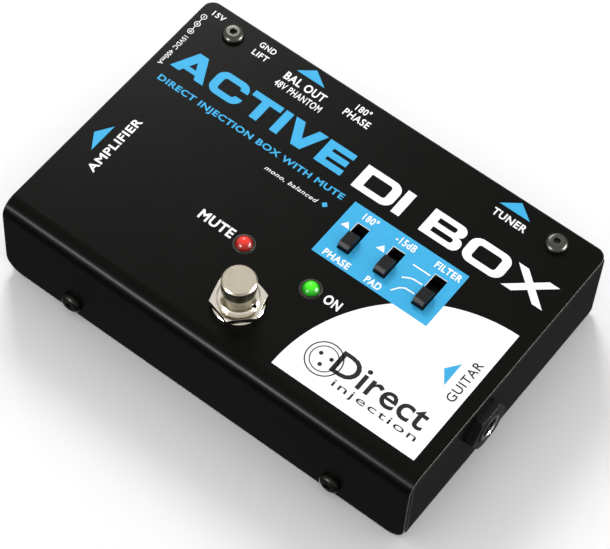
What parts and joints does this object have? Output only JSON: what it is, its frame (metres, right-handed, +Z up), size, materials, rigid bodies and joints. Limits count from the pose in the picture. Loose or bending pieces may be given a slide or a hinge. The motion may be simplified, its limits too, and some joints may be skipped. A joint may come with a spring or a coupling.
{
  "type": "direct injection box",
  "caption": "Black steel instrument direct box with a footswitch, two lamps, slide switches, recessed rear sockets and a jack in each end.",
  "frame": {"origin": "centre of the whole box in plan, on the surface that it stands on", "axes": "+X along the long side towards the end with the instrument jack, +Y towards the recessed connector panel, +Z up"},
  "size_m": [0.1446, 0.0944, 0.043],
  "materials": {
    "cover_powder_coat": "black semi-gloss powder coat on bent steel",
    "chassis_powder_coat": "black semi-gloss powder coat on bent steel",
    "pad_rubber": "fine-textured sheet rubber",
    "dark_screw_steel": "dark nickel plated",
    "plated_steel": "bright zinc plated",
    "nickel_plate": "nickel plated, turned",
    "spring_steel": "drawn wire",
    "switch_moulding": "moulded",
    "tinned_brass": "tinned",
    "wire_sleeving": "extruded",
    "red_lens": "diffused lens",
    "green_lens": "diffused lens",
    "switch_can": "tinned sheet",
    "knob_plastic": "moulded, satin",
    "jack_plastic": "moulded",
    "jack_nut_black": "moulded, satin",
    "chrome_ferrule": "bright plated",
    "shell_zinc": "black plated die casting",
    "board_laminate": "solder-masked laminate",
    "component_plastic": "moulded",
    "transformer_iron": "laminated",
    "winding_tape": "wound tape",
    "capacitor_sleeve": "shrink sleeve",
    "resistor_lacquer": "lacquered"
  },
  "bodies": {
    "root": {"top_cover": "cover_powder_coat", "base_chassis": "chassis_powder_coat", "rear_channel": "chassis_powder_coat", "non_slip_pad": "pad_rubber", "cover_screws": "dark_screw_steel", "front_screws": "dark_screw_steel", "xlr_screws": "dark_screw_steel", "cover_clinch_nuts": "plated_steel", "front_clinch_nuts": "plated_steel", "channel_rivets": "plated_steel", "footswitch_yoke": "plated_steel", "board_screws": "plated_steel", "lamp_leads": "plated_steel", "jack_contacts": "plated_steel", "board_standoffs": "plated_steel", "control_pillars": "plated_steel", "footswitch_bushing": "nickel_plate", "footswitch_locknut": "nickel_plate", "footswitch_washer": "nickel_plate", "footswitch_nut": "nickel_plate", "lamp_bezels": "nickel_plate", "footswitch_spring": "spring_steel", "footswitch_housing": "switch_moulding", "footswitch_terminals": "tinned_brass", "xlr_pins": "tinned_brass", "power_inlet_pin": "tinned_brass", "footswitch_wires": "wire_sleeving", "mute_lamp_lens": "red_lens", "power_lamp_lens": "green_lens", "phase_switch_frame": "switch_can", "pad_switch_frame": "switch_can", "filter_switch_frame": "switch_can", "ground_switch_frame": "switch_can", "rear_phase_switch_frame": "switch_can", "guitar_jack_body": "jack_plastic", "amplifier_jack_body": "jack_plastic", "tuner_jack_body": "jack_plastic", "power_inlet_body": "jack_plastic", "xlr_insert": "jack_plastic", "guitar_jack_nut": "jack_nut_black", "amplifier_jack_nut": "jack_nut_black", "tuner_jack_nut": "jack_nut_black", "guitar_jack_ferrule": "chrome_ferrule", "amplifier_jack_ferrule": "chrome_ferrule", "tuner_jack_ferrule": "chrome_ferrule", "xlr_shell": "shell_zinc", "main_board": "board_laminate", "control_board": "board_laminate", "board_header": "component_plastic", "op_amp_chips": "component_plastic", "transformer_core": "transformer_iron", "transformer_coil": "winding_tape", "electrolytic_capacitors": "capacitor_sleeve", "resistors": "resistor_lacquer"},
    "footswitch_plunger_body": {"footswitch_plunger": "nickel_plate"},
    "phase_knob": {"phase_switch_knob": "knob_plastic"},
    "pad_knob": {"pad_switch_knob": "knob_plastic"},
    "filter_knob": {"filter_switch_knob": "knob_plastic"},
    "ground_knob": {"ground_switch_knob": "knob_plastic"},
    "rear_phase_knob": {"rear_phase_switch_knob": "knob_plastic"}
  },
  "joints": [
    {"name": "footswitch_press", "type": "slide", "parent": "root", "child": "footswitch_plunger_body", "axis": [0, 0, -1], "range_m": [0, 0.003], "stiffness_N_per_m": 2500, "springref_m": -0.002, "deforming": ["footswitch_spring"]},
    {"name": "phase_slide", "type": "slide", "parent": "root", "child": "phase_knob", "axis": [0, 1, 0], "range_m": [0, 0.004]},
    {"name": "pad_slide", "type": "slide", "parent": "root", "child": "pad_knob", "axis": [0, 1, 0], "range_m": [0, 0.004]},
    {"name": "filter_slide", "type": "slide", "parent": "root", "child": "filter_knob", "axis": [0, 1, 0], "range_m": [0, 0.0056]},
    {"name": "ground_slide", "type": "slide", "parent": "root", "child": "ground_knob", "axis": [1, 0, 0], "range_m": [0, 0.0036]},
    {"name": "rear_phase_slide", "type": "slide", "parent": "root", "child": "rear_phase_knob", "axis": [1, 0, 0], "range_m": [0, 0.0036]}
  ]
}
